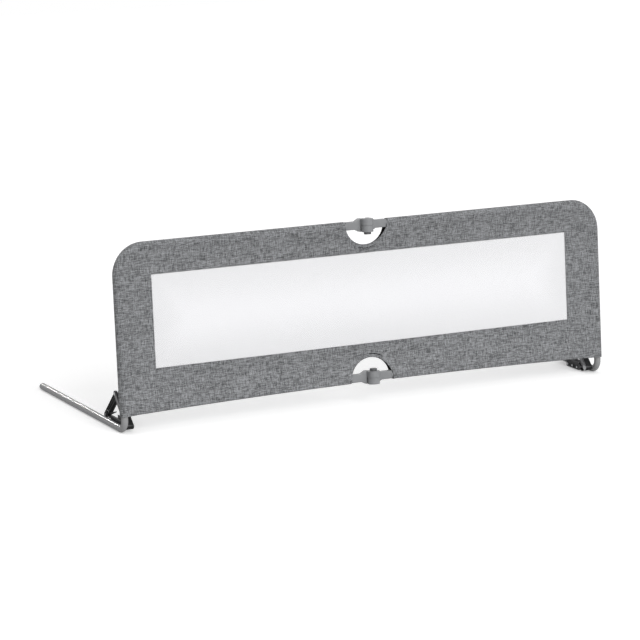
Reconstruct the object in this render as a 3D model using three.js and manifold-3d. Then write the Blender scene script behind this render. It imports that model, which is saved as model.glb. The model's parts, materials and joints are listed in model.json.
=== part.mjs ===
// Folding bed guard rail: a fabric panel on two hinged tube halves, carried by two arms under a mattress.
// Millimetres, +X along the rail, +Y back towards the arms' tips, +Z up, origin on the floor.
// The panel's own frame has its front face at Y zero, and leans back about that face's line on the floor.
import * as THREE from "three";
import { mergeVertices } from "three/addons/utils/BufferGeometryUtils.js";
import Module from "manifold-3d";

const wasm = await Module();
wasm.setup();

// Clearances
const fitGap = 0.3;
const overrun = 5;

// Panel
const railLength = 1500;
const panelLean = THREE.MathUtils.degToRad(5.5);
const coverTop = 503.5;
const coverBow = 9.3;
const coverCornerRadius = 87;
const coverWall = 0.9;
const coverEase = 0.8;
const coverEdgeFlat = 1;
const windowMargin = 109.6;
const windowBottom = 166.2;
const windowTopMargin = 89;
const windowNetThickness = 0.6;
const moonRadius = 66;

// Frame tubes
const tubeRadius = 11;
const tubeWall = 1;
const bottomTubeHeight = 73.5;
const sideTubeTail = 18.7;
const tubeFacets = 16;
const smallFacets = 10;
const bendSteps = 8;
const roundingSteps = 3;

// Arms
const armRadius = 9;
const armWall = 1.5;
const armReach = 578;
const armBendRadius = 27;
const stubTop = 183;
const capFlange = 3;
const capDome = 2.5;
const capPlug = 16;
const bushFlange = 2.2;
const bushLength = 22;

// Rivets that hold the hinge leaves, and that stop the arms' stubs
const rivetRadius = 2.4;
const rivetHeadRadius = 4.5;
const rivetHead = 1.5;
const rivetReach = 6;

// Centre hinges
const barrelRadius = 16.5;
const barrelHeight = 36;
const barrelForward = 4;
const leafRunClearance = 1.5;
const leafTail = 8;
const leafNeck = 17;
const leafFlare = 30;
const leafBarEnd = 62;
const leafCollarEnd = 72;
const leafSpigot = 40;
const leafBarDepth = 20;
const leafChamfer = 2;
const leafRivetPlace = 92;
const pinRadius = 4;
const pinHeadRadius = 10;
const pinHead = 6.5;
const pinFlangeRadius = 6.5;
const pinFlange = 1.5;
const barrelFacets = 24;

// Stays, one on the inner side of each arm
const stayInset = 33.3;
const stayAxleBack = 34;
const stayAxleHeight = 15;
const linkLength = 101.7;
const linkRestAngle = THREE.MathUtils.degToRad(46.3);
const linkHalfDepth = 8.5;
const linkSheet = 2.5;
const linkEndSteps = 6;
const frontLinkHalfWidth = 9.5;
const rearLinkHalfWidth = 6.5;
const apexPinRadius = 3;
const pinHeadRim = 1.5;
const stayPinHead = 1;
const webSetback = 12;
const rearWebSetback = 14;
const rearRibHalfWidth = 1.2;
const wrapAngle = THREE.MathUtils.degToRad(115);
const axleRadius = 3.5;
const axleHeadRadius = 6.5;
const axleHead = 2;
const springWireRadius = 0.5;
const springPitch = 2.2;
const springTurns = 5;
const springStepsPerTurn = 8;
const springSides = 5;

// Rail that each stay's shoe slides in
const railFront = 64;
const railBack = 128;
const railLift = 2;
const railFloor = 11;
const railWallTop = 24;
const railWall = 2.6;
const railScrewRadius = 1.8;
const railScrewHeadRadius = 3.2;
const railScrewHead = 1.6;
const railScrewCount = 3;
const railScrewInset = 8;
const railScrewGrip = 4;
const shoePlate = 2.9;
const shoeFront = 87;
const shoeBack = 13;
const shoePlateBack = 14;
const shoeBlockFront = 30;
const shoeBossRadius = 8;
const noseReach = 55;
const noseRise = 21;
const noseThickness = 4;
const padHalfWidth = 4;
const padDepth = 7;
const padHeight = 6.5;
const padTopDepthShare = 0.45;

// Worked out from the driving sizes
const halfLength = railLength / 2;
const boreRadius = tubeRadius - tubeWall;
const coverHalf = tubeRadius + coverEase + coverWall;
const coverThickness = 2 * coverHalf;
const tubeInset = coverHalf;
const topTubeHeight = coverTop - coverHalf;
const windowTop = coverTop - windowTopMargin;
const coverMiddleBottom = bottomTubeHeight - coverHalf;
const coverEndBottom = coverMiddleBottom - coverBow;
const sideTubeBottom = bottomTubeHeight - sideTubeTail;
const tubeCornerRadius = coverCornerRadius - tubeInset;
const layerDepth = coverHalf - coverWall;
const layerRun = moonRadius - coverHalf;
const layerStart = coverHalf * Math.tan(Math.atan2(layerDepth, layerRun) / 2);
const tubeStart = leafCollarEnd + fitGap;
const railHalfWidth = stayInset - tubeInset - armRadius - fitGap;
const apexBack = stayAxleBack + linkLength * Math.cos(linkRestAngle);
const apexHeight = stayAxleHeight + linkLength * Math.sin(linkRestAngle);
const shoePinBack = stayAxleBack + 2 * linkLength * Math.cos(linkRestAngle);

// Finishes
function finish(color, roughness, metalness) {
  return new THREE.MeshStandardMaterial({ color, roughness, metalness });
}
const paintedSteel = () => finish(0xb4b5b8, 0.35, 0.7);
const hingePlastic = () => finish(0x86898e, 0.5, 0);
const pinPlastic = () => finish(0x6f7277, 0.5, 0);
const darkPlastic = () => finish(0x3a3c40, 0.55, 0);
const blackPlastic = () => finish(0x1f2023, 0.55, 0);
const brightSteel = () => finish(0xc9cbce, 0.25, 1);
const greyFabric = () => finish(0x797a7e, 0.95, 0);
const whiteNet = () => finish(0xe9ebee, 0.9, 0);
const blackRubber = () => finish(0x191a1b, 0.85, 0);

// Solids: closed triangle meshes that can be joined and cut
function solidOf(geometry) {
  const bare = geometry.clone();
  bare.deleteAttribute("normal");
  bare.deleteAttribute("uv");
  const merged = mergeVertices(bare);
  return new wasm.Manifold(new wasm.Mesh({
    numProp: 3,
    vertProperties: merged.getAttribute("position").array,
    triVerts: Uint32Array.from(merged.index.array),
  }));
}

function geometryOf(solid) {
  const mesh = solid.getMesh();
  const geometry = new THREE.BufferGeometry();
  geometry.setAttribute("position", new THREE.BufferAttribute(mesh.vertProperties, 3));
  geometry.setIndex(new THREE.BufferAttribute(mesh.triVerts, 1));
  geometry.computeVertexNormals();
  return geometry;
}

function join(...geometries) {
  return geometryOf(geometries.map(solidOf).reduce((whole, piece) => whole.add(piece)));
}

function cut(geometry, ...tools) {
  return geometryOf(tools.map(solidOf).reduce((rest, tool) => rest.subtract(tool), solidOf(geometry)));
}

function common(geometry, other) {
  return geometryOf(solidOf(geometry).intersect(solidOf(other)));
}

// Mirror image across X zero, with its faces still pointing out
function mirrored(geometry) {
  const image = geometry.index ? geometry.toNonIndexed() : geometry.clone();
  image.scale(-1, 1, 1);
  const position = image.getAttribute("position");
  for (let first = 0; first < position.count; first += 3) {
    const second = first + 1;
    const third = first + 2;
    const kept = new THREE.Vector3().fromBufferAttribute(position, second);
    position.setXYZ(second, position.getX(third), position.getY(third), position.getZ(third));
    position.setXYZ(third, kept.x, kept.y, kept.z);
  }
  image.computeVertexNormals();
  return image;
}

// Section with flats that face along its axes and lie at the given radius
function roundSection(radius, facets = tubeFacets, centre = new THREE.Vector2()) {
  const corner = radius / Math.cos(Math.PI / facets);
  const points = [];
  for (let side = 0; side < facets; side += 1) {
    const angle = (side + 0.5) * 2 * Math.PI / facets;
    points.push(new THREE.Vector2(corner * Math.cos(angle), corner * Math.sin(angle)).add(centre));
  }
  return new THREE.Shape(points);
}

function ringSection(radius, bore, facets = tubeFacets) {
  const ring = roundSection(radius, facets);
  ring.holes.push(roundSection(bore, facets));
  return ring;
}

function prism(shape, depth, bevel = {}) {
  return new THREE.ExtrudeGeometry(shape, { depth, bevelEnabled: false, ...bevel });
}

// Prism of a (Y, Z) outline that runs from one X to another
const acrossTurn = new THREE.Matrix4().makeBasis(
  new THREE.Vector3(0, 1, 0), new THREE.Vector3(0, 0, 1), new THREE.Vector3(1, 0, 0));

function across(shape, from, to) {
  return prism(shape, to - from).applyMatrix4(acrossTurn).translate(from, 0, 0);
}

// Prism of an (X, Z) outline that runs from one Y to another
function through(shape, from, to, bevel = {}) {
  const inset = bevel.bevelThickness ?? 0;
  return prism(shape, to - from - 2 * inset, bevel).rotateX(Math.PI / 2).translate(0, to - inset, 0);
}

// Prism of an (X, Y) outline that runs from one Z to another
function upward(shape, from, to) {
  return prism(shape, to - from).translate(0, 0, from);
}

function rod(radius, from, to, facets = tubeFacets) {
  return across(roundSection(radius, facets), from, to);
}

function post(radius, from, to, facets = tubeFacets) {
  return upward(roundSection(radius, facets), from, to);
}

function rectangle(left, bottom, right, top) {
  return new THREE.Shape([
    new THREE.Vector2(left, bottom), new THREE.Vector2(right, bottom),
    new THREE.Vector2(right, top), new THREE.Vector2(left, top)]);
}

// Path through stations with a point and a direction each, so that a straight run takes one step
class StationPath extends THREE.Curve {
  constructor(stations) {
    super();
    this.stations = stations;
  }

  stationAt(share) {
    return this.stations[Math.round(share * (this.stations.length - 1))];
  }

  getPointAt(share, target = new THREE.Vector3()) {
    return target.copy(this.stationAt(share).point);
  }

  getTangentAt(share, target = new THREE.Vector3()) {
    return target.copy(this.stationAt(share).direction);
  }
}

function sweep(section, stations) {
  const extrudePath = new StationPath(stations);
  return new THREE.ExtrudeGeometry(section, { steps: stations.length - 1, extrudePath });
}

// Stations of a bend: its centre, two square directions in its plane, its radius and its whole turn
function bendStations(centre, outward, forward, radius, turn) {
  const stations = [];
  for (let step = 0; step <= bendSteps; step += 1) {
    const angle = turn * step / bendSteps;
    const spoke = outward.clone().multiplyScalar(Math.cos(angle))
      .addScaledVector(forward, Math.sin(angle));
    const direction = forward.clone().multiplyScalar(Math.cos(angle))
      .addScaledVector(outward, -Math.sin(angle));
    stations.push({ point: centre.clone().addScaledVector(spoke, radius), direction });
  }
  return stations;
}

// Half tube of the frame: from the upper hinge round the top corner and down to the arm's socket
function frameTube() {
  const right = new THREE.Vector3(1, 0, 0);
  const up = new THREE.Vector3(0, 0, 1);
  const sideX = halfLength - tubeInset;
  const corner = new THREE.Vector3(sideX - tubeCornerRadius, coverHalf, topTubeHeight - tubeCornerRadius);
  const stations = [
    { point: new THREE.Vector3(tubeStart, coverHalf, topTubeHeight), direction: right },
    ...bendStations(corner, up, right, tubeCornerRadius, Math.PI / 2),
    { point: new THREE.Vector3(sideX, coverHalf, sideTubeBottom), direction: up.clone().negate() },
  ];
  const tube = sweep(ringSection(tubeRadius, boreRadius), stations);
  const leafRivetHole = post(rivetRadius + fitGap, -tubeRadius - overrun, 0, smallFacets)
    .translate(leafRivetPlace, coverHalf, topTubeHeight);
  const stopHole = rod(rivetRadius + fitGap, -tubeRadius - overrun, 0, smallFacets)
    .translate(sideX, coverHalf, stubTop + rivetRadius + fitGap);
  return cut(tube, leafRivetHole, stopHole);
}

// Half bottom tube: from the lower hinge to the side tube, with its end saddled round it
function bottomTube() {
  const sideX = halfLength - tubeInset;
  const tube = across(ringSection(tubeRadius, boreRadius), tubeStart, sideX)
    .translate(0, coverHalf, bottomTubeHeight);
  const saddle = post(tubeRadius + fitGap, sideTubeBottom, bottomTubeHeight + 2 * tubeRadius)
    .translate(sideX, coverHalf, 0);
  const rivetHole = post(rivetRadius + fitGap, 0, tubeRadius + overrun, smallFacets)
    .translate(leafRivetPlace, coverHalf, bottomTubeHeight);
  return cut(tube, saddle, rivetHole);
}

// Rivet with its head below the origin and its shank rising from it
function rivet(shank) {
  return join(
    post(rivetHeadRadius, -rivetHead, 0, smallFacets),
    post(rivetRadius, -rivetHead, shank, smallFacets));
}

// Guide bush in the lower end of a side tube, with a flange under the tube's end
function guideBush() {
  const bore = armRadius + fitGap;
  const flangeTop = sideTubeBottom - fitGap;
  const flangeFloor = flangeTop - bushFlange;
  const flange = upward(ringSection(tubeRadius, bore), flangeFloor, flangeTop);
  const liner = upward(ringSection(boreRadius - fitGap, bore), flangeFloor, sideTubeBottom + bushLength);
  return join(flange, liner);
}

// Leaf of a centre hinge: the left one, whose eye is the barrel's upper half
function hingeLeaf() {
  const halfHeight = barrelHeight / 2;
  const eyeFloor = fitGap;
  const barrelAxis = new THREE.Vector2(0, -barrelForward);
  const barFront = coverHalf - leafBarDepth / 2;
  const barBack = coverHalf + leafBarDepth / 2;
  const eye = upward(roundSection(barrelRadius, barrelFacets, barrelAxis), eyeFloor, halfHeight);
  const neckOutline = new THREE.Shape([
    new THREE.Vector2(0, -barrelForward),
    new THREE.Vector2(0, barrelRadius - barrelForward),
    new THREE.Vector2(-leafNeck, barBack),
    new THREE.Vector2(-leafNeck, barFront),
    new THREE.Vector2(-barrelRadius, -barrelForward)]);
  const neck = upward(neckOutline, eyeFloor, halfHeight);
  const barOutline = new THREE.Shape([
    new THREE.Vector2(-leafBarEnd, -tubeRadius),
    new THREE.Vector2(-leafFlare, -tubeRadius),
    new THREE.Vector2(-leafNeck, -halfHeight),
    new THREE.Vector2(-leafTail, -halfHeight),
    new THREE.Vector2(-leafTail, halfHeight),
    new THREE.Vector2(-leafNeck, halfHeight),
    new THREE.Vector2(-leafFlare, tubeRadius),
    new THREE.Vector2(-leafBarEnd, tubeRadius)]);
  const chamfer = {
    bevelEnabled: true, bevelSegments: roundingSteps, bevelSize: leafChamfer,
    bevelOffset: -leafChamfer, bevelThickness: leafChamfer,
  };
  const bar = through(barOutline, barFront, barBack, chamfer);
  const collar = rod(tubeRadius, -leafCollarEnd, -leafBarEnd + leafChamfer).translate(0, coverHalf, 0);
  const spigot = rod(boreRadius - fitGap, -leafCollarEnd - leafSpigot, -leafBarEnd)
    .translate(0, coverHalf, 0);
  const swingRoom = upward(roundSection(barrelRadius + leafRunClearance, barrelFacets, barrelAxis),
    -barrelHeight, eyeFloor);
  const pinBore = post(pinRadius + fitGap, -barrelHeight, barrelHeight).translate(0, -barrelForward, 0);
  const flangeSeat = post(pinFlangeRadius + fitGap, halfHeight - pinFlange - fitGap, barrelHeight)
    .translate(0, -barrelForward, 0);
  const rivetHole = post(rivetRadius + fitGap, -tubeRadius, tubeRadius, smallFacets)
    .translate(-leafRivetPlace, coverHalf, 0);
  return cut(join(eye, neck, bar, collar, spigot), swingRoom, pinBore, flangeSeat, rivetHole);
}

// Hinge pin, with its head under the barrel and its riveted flange sunk in the top
function hingePin() {
  const halfHeight = barrelHeight / 2;
  const head = post(pinHeadRadius, -halfHeight - fitGap - pinHead, -halfHeight - fitGap, barrelFacets);
  const shank = post(pinRadius, -halfHeight - fitGap - pinHead, halfHeight);
  const flange = post(pinFlangeRadius, halfHeight - pinFlange, halfHeight);
  return join(head, shank, flange).translate(0, -barrelForward, 0);
}

// Outline of the cover down to a given height, set in by a margin
function coverOutline(margin, bottom) {
  const edge = halfLength - margin;
  const top = coverTop - margin;
  const radius = coverCornerRadius - margin;
  const outline = new THREE.Path();
  outline.moveTo(-edge, bottom);
  outline.lineTo(edge, bottom);
  outline.lineTo(edge, top - radius);
  outline.absarc(edge - radius, top - radius, radius, 0, Math.PI / 2, false);
  outline.lineTo(-edge + radius, top);
  outline.absarc(-edge + radius, top - radius, radius, Math.PI / 2, Math.PI, false);
  return new THREE.Shape(outline.getPoints(bendSteps));
}

// Region under the cover's bottom edge, which rises in a bow to the middle of the rail
function underEdge(lift) {
  const points = [];
  const steps = 2 * bendSteps;
  for (let step = 0; step <= steps; step += 1) {
    const share = 2 * step / steps - 1;
    const height = coverMiddleBottom + lift - coverBow * share * share;
    points.push(new THREE.Vector2(share * (halfLength + overrun), height));
  }
  const floorHeight = coverEndBottom - 2 * coverThickness;
  points.push(new THREE.Vector2(halfLength + overrun, floorHeight));
  points.push(new THREE.Vector2(-halfLength - overrun, floorHeight));
  return through(new THREE.Shape(points), -overrun, coverThickness + overrun);
}

function roundedSlab(margin) {
  const radius = coverHalf - margin;
  const rounding = {
    bevelEnabled: true, bevelSegments: roundingSteps, bevelSize: radius,
    bevelOffset: -radius, bevelThickness: radius - coverEdgeFlat / 2,
  };
  const outline = coverOutline(margin, coverEndBottom - coverThickness);
  return through(outline, margin, coverThickness - margin, rounding);
}

// Room in front of the cover, where its front layer slopes in from the tubes to the panel's middle
function slopeRoom(depth) {
  const margin = tubeInset + layerStart;
  const slope = {
    bevelEnabled: true, bevelSegments: 1, bevelSize: layerRun - layerStart,
    bevelOffset: layerStart - layerRun, bevelThickness: depth,
  };
  return through(coverOutline(margin, bottomTubeHeight + layerStart), -depth - overrun, depth, slope);
}

// The same room behind the cover
function backSlopeRoom(depth) {
  return slopeRoom(depth).rotateZ(Math.PI).translate(0, coverThickness, 0);
}

// Right half of the fabric sleeve, with its windows, its half-moon notches and the arm's way in
function coverHalfSleeve() {
  const inward = coverWall + fitGap / 2;
  const shell = cut(roundedSlab(0), underEdge(0), slopeRoom(layerDepth), backSlopeRoom(layerDepth));
  const hollow = cut(roundedSlab(coverWall), underEdge(coverWall),
    slopeRoom(layerDepth).translate(0, inward, 0), backSlopeRoom(layerDepth).translate(0, -inward, 0));
  const half = through(rectangle(fitGap / 2, 0, halfLength + overrun, coverTop + overrun),
    -overrun, coverThickness + overrun);
  const windowHole = through(rectangle(-overrun, windowBottom, halfLength - windowMargin, windowTop),
    -overrun, coverThickness + overrun);
  const moon = (height) => through(roundSection(moonRadius, barrelFacets, new THREE.Vector2(0, height)),
    -overrun, coverThickness + overrun);
  const armWay = post(tubeRadius + coverEase, coverEndBottom - overrun, bottomTubeHeight)
    .translate(halfLength - tubeInset, coverHalf, 0);
  const sleeve = common(cut(shell, hollow), half);
  return cut(sleeve, windowHole, moon(coverTop), moon(coverMiddleBottom), armWay);
}

// Net in half of the window, held in the panel's middle where the cover's two layers meet
function windowNet() {
  const outline = rectangle(fitGap / 2, windowBottom + fitGap,
    halfLength - windowMargin - fitGap, windowTop - fitGap);
  const halfThickness = windowNetThickness / 2;
  return through(outline, coverHalf - halfThickness, coverHalf + halfThickness);
}

// Arm: a tube that lies under the mattress, turns up and ends in a stub inside the side tube
function armTube() {
  const lean = new THREE.Vector3(0, Math.sin(panelLean), Math.cos(panelLean));
  const back = new THREE.Vector3(0, 1, 0);
  const down = new THREE.Vector3(0, 0, -1);
  const bendCentreHeight = armRadius + armBendRadius;
  const bendDepth = armBendRadius + coverHalf;
  const bendEnd = (bendCentreHeight + bendDepth * Math.sin(panelLean)) / Math.cos(panelLean);
  const bendBack = bendDepth * Math.cos(panelLean) + bendEnd * Math.sin(panelLean);
  const tubeTip = armReach - capDome - capFlange - fitGap;
  const stubEnd = new THREE.Vector3(0, coverHalf * Math.cos(panelLean), -coverHalf * Math.sin(panelLean))
    .addScaledVector(lean, stubTop);
  const centre = new THREE.Vector3(0, bendBack, bendCentreHeight);
  const stations = [
    { point: new THREE.Vector3(0, tubeTip, armRadius), direction: back.clone().negate() },
    ...bendStations(centre, down, back.clone().negate(), armBendRadius, Math.PI / 2 + panelLean),
    { point: stubEnd, direction: lean },
  ];
  const tube = sweep(ringSection(armRadius, armRadius - armWall), stations);
  const axleHole = rod(axleRadius + fitGap, 0, armRadius + overrun, smallFacets)
    .translate(0, stayAxleBack, stayAxleHeight);
  const screwHole = rod(railScrewRadius + fitGap, 0, armRadius + overrun, smallFacets);
  const screwHoles = railScrewPlaces().map((back) => screwHole.clone().translate(0, back, armRadius));
  return cut(tube, axleHole, ...screwHoles);
}

// End cap of an arm: a plug in the tube, a flange and a low dome
function armCap() {
  const plugStart = armReach - capDome - capFlange - capPlug;
  const flangeStart = armReach - capDome - capFlange;
  const plug = prism(roundSection(armRadius - armWall - fitGap), capPlug + capFlange)
    .rotateX(-Math.PI / 2).translate(0, plugStart, 0);
  const cap = new THREE.ExtrudeGeometry(roundSection(armRadius), {
    depth: capFlange, bevelEnabled: true, bevelSegments: roundingSteps,
    bevelSize: capDome, bevelOffset: -capDome, bevelThickness: capDome,
  }).rotateX(-Math.PI / 2).translate(0, flangeStart, 0);
  const reach = armRadius + overrun;
  const capHalf = across(rectangle(flangeStart, -reach, armReach + overrun, reach), -reach, reach);
  return join(plug, common(cap, capHalf)).translate(0, 0, armRadius);
}

// Places along the arm of the screws that hold the rail
function railScrewPlaces() {
  const run = railBack - railFront - 2 * railScrewInset;
  return Array.from({ length: railScrewCount },
    (unused, index) => railFront + railScrewInset + run * index / (railScrewCount - 1));
}

// Rail that the stay's shoe slides in: a floor and two walls
function stayRail() {
  const body = across(rectangle(railFront, railLift, railBack, railWallTop), -railHalfWidth, railHalfWidth);
  const channel = across(rectangle(railFront - overrun, railLift + railFloor, railBack + overrun,
    railWallTop + overrun), -railHalfWidth + railWall, railHalfWidth - railWall);
  const reach = railHalfWidth + overrun;
  const hole = rod(railScrewRadius + fitGap, -reach, reach, smallFacets);
  const holes = railScrewPlaces().map((back) => hole.clone().translate(0, back, armRadius));
  return cut(body, channel, ...holes);
}

// Screw through the rail into the arm, with its head on the rail's inner side
function railScrew(back) {
  const headFace = railHalfWidth + fitGap;
  const shank = rod(railScrewRadius, -railHalfWidth - fitGap - railScrewGrip,
    headFace + railScrewHead, smallFacets);
  const head = rod(railScrewHeadRadius, headFace, headFace + railScrewHead, smallFacets);
  return join(shank, head).translate(0, back, armRadius);
}

// Axle that carries the front link, fixed in the arm's bend
function stayAxle() {
  const tubeFace = -(stayInset - tubeInset - armRadius) + fitGap;
  const linkFace = frontLinkHalfWidth + fitGap;
  const shank = rod(axleRadius, tubeFace - armRadius, linkFace + axleHead, smallFacets);
  const shoulder = rod(axleHeadRadius, tubeFace, -linkFace, smallFacets);
  const head = rod(axleHeadRadius, linkFace, linkFace + axleHead, smallFacets);
  return join(shank, shoulder, head).translate(0, stayAxleBack, stayAxleHeight);
}

// Outline of a link in its own frame: pivots at zero and at its length, with round ends
function linkOutline() {
  const outline = new THREE.Path();
  outline.moveTo(0, -linkHalfDepth);
  outline.lineTo(linkLength, -linkHalfDepth);
  outline.absarc(linkLength, 0, linkHalfDepth, -Math.PI / 2, Math.PI / 2, false);
  outline.lineTo(0, linkHalfDepth);
  outline.absarc(0, 0, linkHalfDepth, Math.PI / 2, 3 * Math.PI / 2, false);
  const points = outline.getPoints(linkEndSteps);
  points.pop();
  return new THREE.Shape(points);
}

function linkFlanges(halfWidth) {
  return join(
    across(linkOutline(), -halfWidth, -halfWidth + linkSheet),
    across(linkOutline(), -halfWidth, -halfWidth + linkSheet).translate(2 * halfWidth - linkSheet, 0, 0));
}

// Front link: two flanges with a web on its upper side that wraps round the axle's end
function frontLink() {
  const web = new THREE.Path();
  web.absarc(0, 0, linkHalfDepth, Math.PI / 2 + wrapAngle, Math.PI / 2, true);
  web.lineTo(linkLength - webSetback, linkHalfDepth);
  web.lineTo(linkLength - webSetback, linkHalfDepth - linkSheet);
  web.absarc(0, 0, linkHalfDepth - linkSheet, Math.PI / 2, Math.PI / 2 + wrapAngle, false);
  const webOutline = new THREE.Shape(web.getPoints(linkEndSteps));
  const webSolid = across(webOutline, -frontLinkHalfWidth, frontLinkHalfWidth);
  const reach = frontLinkHalfWidth + overrun;
  const axleBore = rod(axleRadius + fitGap, -reach, reach, smallFacets);
  const pinBore = rod(apexPinRadius + fitGap, -reach, reach, smallFacets).translate(0, linkLength, 0);
  return cut(join(linkFlanges(frontLinkHalfWidth), webSolid), axleBore, pinBore)
    .rotateX(linkRestAngle).translate(0, stayAxleBack, stayAxleHeight);
}

// Rear link: two flanges inside the front link's, with a web on its upper side.
// Its outer flange has two long slots, on both sides of a middle rib.
function rearLink() {
  const webFloor = linkHalfDepth - linkSheet;
  const web = across(rectangle(rearWebSetback, webFloor, linkLength - rearWebSetback, linkHalfDepth),
    -rearLinkHalfWidth, rearLinkHalfWidth);
  const slot = (floor, top) => across(
    rectangle(rearWebSetback, floor, linkLength - rearWebSetback, top),
    -rearLinkHalfWidth - overrun, -rearLinkHalfWidth + linkSheet);
  const reach = rearLinkHalfWidth + overrun;
  const upperBore = rod(apexPinRadius + fitGap, -reach, reach, smallFacets);
  const lowerBore = upperBore.clone().translate(0, linkLength, 0);
  return cut(join(linkFlanges(rearLinkHalfWidth), web),
    slot(rearRibHalfWidth, webFloor), slot(-webFloor, -rearRibHalfWidth), upperBore, lowerBore)
    .rotateX(-linkRestAngle).translate(0, apexBack, apexHeight);
}

// Pin with a head outside each flange of a link
function linkPin(halfWidth) {
  const face = halfWidth + fitGap;
  const headRadius = apexPinRadius + pinHeadRim;
  return join(
    rod(apexPinRadius, -face - stayPinHead, face + stayPinHead, smallFacets),
    rod(headRadius, -face - stayPinHead, -face, smallFacets),
    rod(headRadius, face, face + stayPinHead, smallFacets));
}

// Shoe at the foot of the rear link: a plate in the rail, a block with the pivot's boss, and a finger tab
function stayShoe() {
  const plateFloor = railLift + railFloor + fitGap;
  const plateTop = plateFloor + shoePlate;
  const plateHalf = railHalfWidth - railWall - fitGap;
  const blockHalf = rearLinkHalfWidth - linkSheet - fitGap;
  const backEdge = shoePinBack + shoeBack;
  const plate = across(rectangle(shoePinBack - shoeFront, plateFloor, shoePinBack - shoePlateBack, plateTop),
    -plateHalf, plateHalf);
  const block = across(rectangle(shoePinBack - shoeBlockFront, plateFloor, backEdge, stayAxleHeight),
    -blockHalf, blockHalf);
  const boss = rod(shoeBossRadius, -blockHalf, blockHalf).translate(0, shoePinBack, stayAxleHeight);
  const nose = across(new THREE.Shape([
    new THREE.Vector2(shoePinBack, stayAxleHeight - noseThickness),
    new THREE.Vector2(shoePinBack, stayAxleHeight + noseThickness),
    new THREE.Vector2(shoePinBack - noseReach, stayAxleHeight + noseRise),
    new THREE.Vector2(shoePinBack - noseReach + noseThickness, stayAxleHeight + noseRise - noseThickness),
  ]), -blockHalf, blockHalf);
  const bore = rod(apexPinRadius + fitGap, -plateHalf, plateHalf, smallFacets)
    .translate(0, shoePinBack, stayAxleHeight);
  return cut(join(plate, block, boss, nose), bore);
}

// Torsion spring wound round the axle, inside the front link
function staySpring() {
  const wireCorner = springWireRadius / Math.cos(Math.PI / springSides);
  const axleCorner = axleRadius / Math.cos(Math.PI / smallFacets);
  const coilRadius = (axleCorner + fitGap + wireCorner) / Math.cos(Math.PI / springStepsPerTurn);
  const steps = springTurns * springStepsPerTurn;
  const halfRun = springTurns * springPitch / 2;
  const helixPoint = (turns) => new THREE.Vector3(-halfRun + springPitch * turns,
    coilRadius * Math.cos(2 * Math.PI * turns), coilRadius * Math.sin(2 * Math.PI * turns));
  const stations = [];
  for (let step = 0; step <= steps; step += 1) {
    const turns = step / springStepsPerTurn;
    const angle = 2 * Math.PI * turns;
    const direction = new THREE.Vector3(springPitch / (2 * Math.PI),
      -coilRadius * Math.sin(angle), coilRadius * Math.cos(angle)).normalize();
    stations.push({ point: helixPoint(turns), direction });
  }
  return sweep(roundSection(springWireRadius, springSides), stations)
    .translate(0, stayAxleBack, stayAxleHeight);
}

// Rubber pad on the rail's front end, which meets the floor
function floorPad() {
  const face = railFront - fitGap;
  const outline = new THREE.Shape([
    new THREE.Vector2(face - padDepth, 0),
    new THREE.Vector2(face, 0),
    new THREE.Vector2(face, padHeight),
    new THREE.Vector2(face - padDepth * padTopDepthShare, padHeight)]);
  return across(outline, -padHalfWidth, padHalfWidth);
}

// Assembly
const guardRail = new THREE.Group();
guardRail.name = "bed_guard_rail";
const panel = new THREE.Group();
panel.rotation.x = -panelLean;
guardRail.add(panel);

function place(parent, name, geometry, material) {
  const mesh = new THREE.Mesh(geometry, material);
  mesh.name = name;
  parent.add(mesh);
  return mesh;
}

function addPanelHalf(side, hand) {
  const handed = (geometry) => (hand < 0 ? mirrored(geometry) : geometry);
  const sideX = hand * (halfLength - tubeInset);
  place(panel, `${side}_frame_tube`, handed(frameTube()), paintedSteel());
  place(panel, `${side}_bottom_tube`, handed(bottomTube()), paintedSteel());
  place(panel, `${side}_cover`, handed(coverHalfSleeve()), greyFabric());
  place(panel, `${side}_window_net`, handed(windowNet()), whiteNet());
  place(panel, `${side}_guide_bush`, guideBush(), blackPlastic()).position.set(sideX, coverHalf, 0);
  const stop = place(panel, `${side}_stub_stop`, rivet(2 * tubeRadius - tubeWall), brightSteel());
  stop.position.set(sideX - hand * (tubeRadius + fitGap), coverHalf, stubTop + rivetRadius + fitGap);
  stop.rotation.y = hand * Math.PI / 2;
}

function addHinge(level, height, flipped) {
  const leafTurns = { left: 0, right: Math.PI };
  for (const [side, turn] of Object.entries(leafTurns)) {
    const leaf = place(panel, `${side}_${level}_hinge_leaf`, hingeLeaf().rotateY(turn), hingePlastic());
    leaf.position.z = height;
    const hand = side === "left" ? -1 : 1;
    const leafRivet = place(panel, `${side}_${level}_leaf_rivet`,
      rivet(boreRadius + rivetReach), brightSteel());
    const inward = flipped ? 1 : -1;
    leafRivet.rotation.x = flipped ? Math.PI : 0;
    leafRivet.position.set(hand * leafRivetPlace, coverHalf, height + inward * (tubeRadius + fitGap));
  }
  const pin = place(panel, `${level}_hinge_pin`, hingePin(), pinPlastic());
  pin.geometry.rotateY(flipped ? Math.PI : 0);
  pin.position.z = height;
}

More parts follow.
